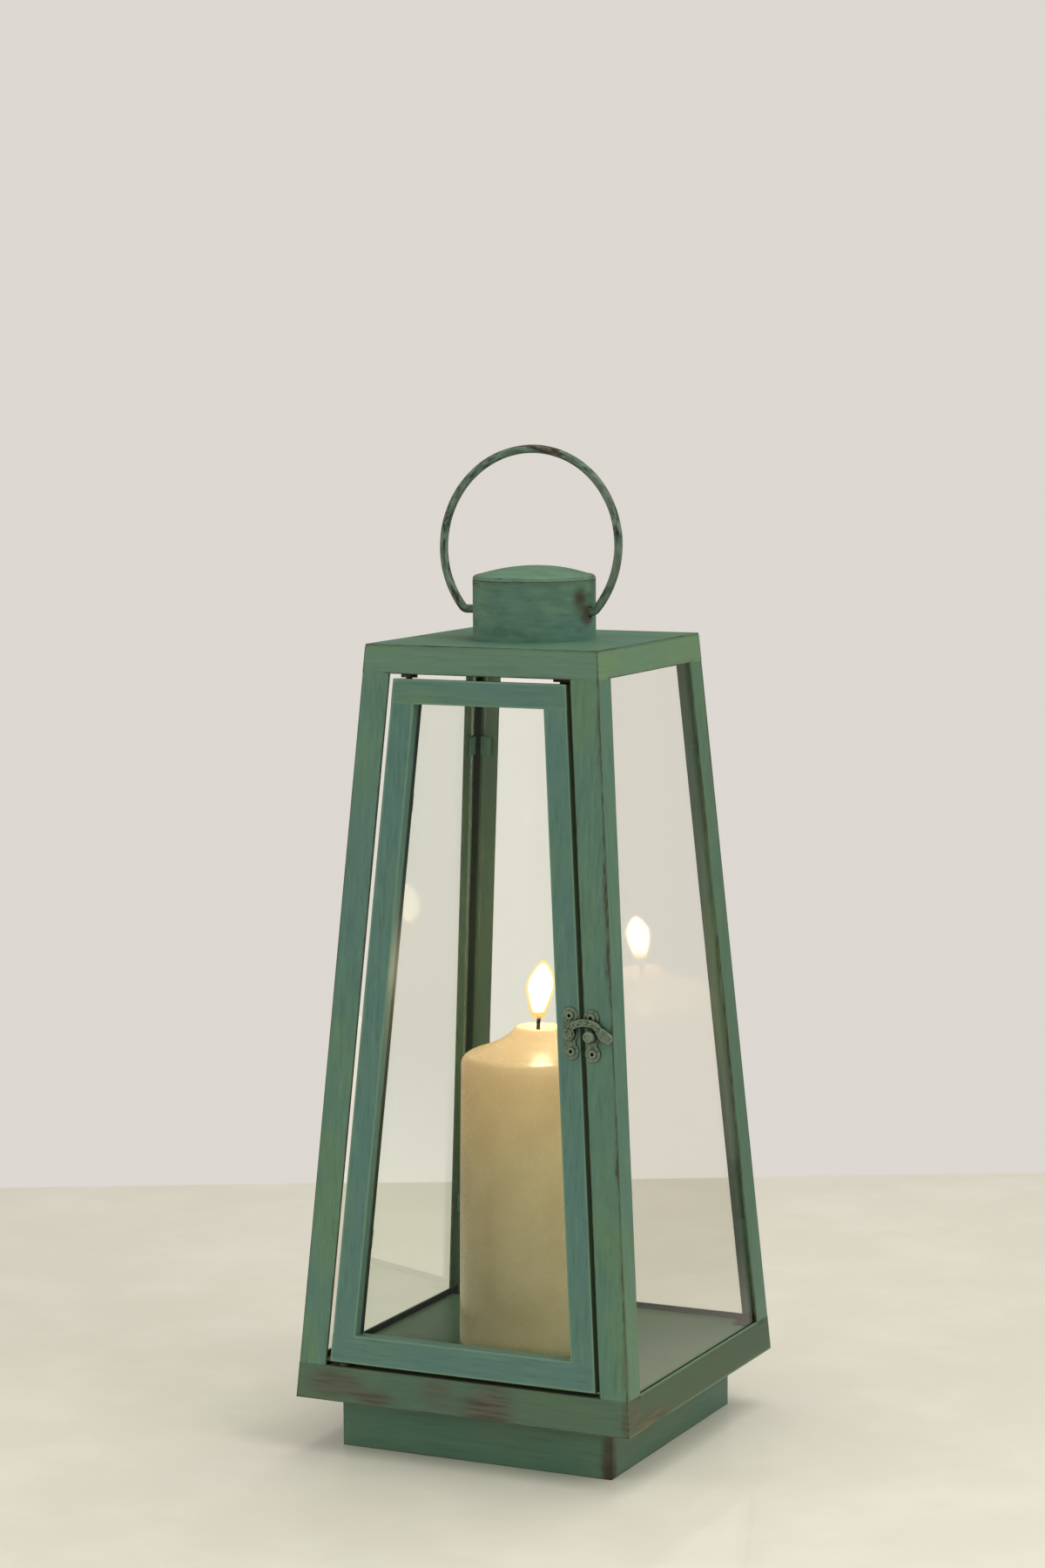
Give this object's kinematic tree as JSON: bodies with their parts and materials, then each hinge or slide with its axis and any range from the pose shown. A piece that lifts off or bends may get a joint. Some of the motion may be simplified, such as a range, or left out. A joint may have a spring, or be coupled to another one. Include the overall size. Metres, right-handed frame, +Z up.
{
  "type": "glass candle lantern",
  "caption": "Tapered square metal lantern with glass on all sides, a hinged glazed door with a swing hook, a domed chimney, a ring handle and a pillar candle.",
  "frame": {"origin": "centre of the plinth's underside, on the surface that the lantern stands on", "axes": "+Z up; the door faces -Y; +X to the right of someone facing the door"},
  "size_m": [0.1708, 0.1708, 0.4682],
  "materials": {
    "paint": "brushed-on aqua green paint, worn to brown at the edges",
    "handle_paint": "thin worn paint over dark wire",
    "patina": "dull grey-green patina",
    "glass": "clear",
    "wax": "ivory wax, satin",
    "wick": "charred cotton",
    "flame": "glowing flame, only in the dressed model"
  },
  "bodies": {
    "lantern": {"front_left_post": "paint", "front_right_post": "paint", "rear_left_post": "paint", "rear_right_post": "paint", "front_top_rail": "paint", "right_top_rail": "paint", "rear_top_rail": "paint", "left_top_rail": "paint", "front_bottom_rail": "paint", "right_bottom_rail": "paint", "rear_bottom_rail": "paint", "left_bottom_rail": "paint", "plinth": "paint", "floor_plate": "paint", "roof_plate": "paint", "chimney_tube": "paint", "chimney_cap": "paint", "right_glass": "glass", "rear_glass": "glass", "left_glass": "glass", "right_glass_clips": "paint", "rear_glass_clips": "paint", "left_glass_clips": "paint", "hinge_pins": "patina", "hinge_washers": "patina", "door_stop": "patina", "keeper_plate": "patina", "keeper_rivets": "patina", "keeper_stud": "patina"},
    "door": {"door_top_rail": "paint", "door_bottom_rail": "paint", "door_left_stile": "paint", "door_right_stile": "paint", "door_glass": "glass", "door_glass_clips": "paint", "latch_plate": "patina", "latch_rivets": "patina", "latch_pivot": "patina"},
    "latch": {"latch_hook": "patina"},
    "handle": {"ring_handle": "handle_paint"},
    "candle": {"candle": "wax", "wick": "wick"}
  },
  "joints": [
    {"name": "door_swing", "type": "hinge", "parent": "lantern", "child": "door", "pos_m": [-0.03762, -0.05523, 0.36426], "axis": [-0.0753, -0.0753, -0.9943], "range_deg": [0, 110]},
    {"name": "latch_lift", "type": "hinge", "parent": "door", "child": "latch", "pos_m": [0.05104, -0.07334, 0.20592], "axis": [0, -0.9971, 0.0755], "range_deg": [0, 100]},
    {"name": "handle_swing", "type": "hinge", "parent": "lantern", "child": "handle", "pos_m": [0, 0, 0.391], "axis": [1, 0, 0], "range_deg": [-96, 104]},
    {"name": "candle_lift", "type": "slide", "parent": "lantern", "child": "candle", "axis": [0, 0, 1], "range_m": [0, 0.03]}
  ]
}
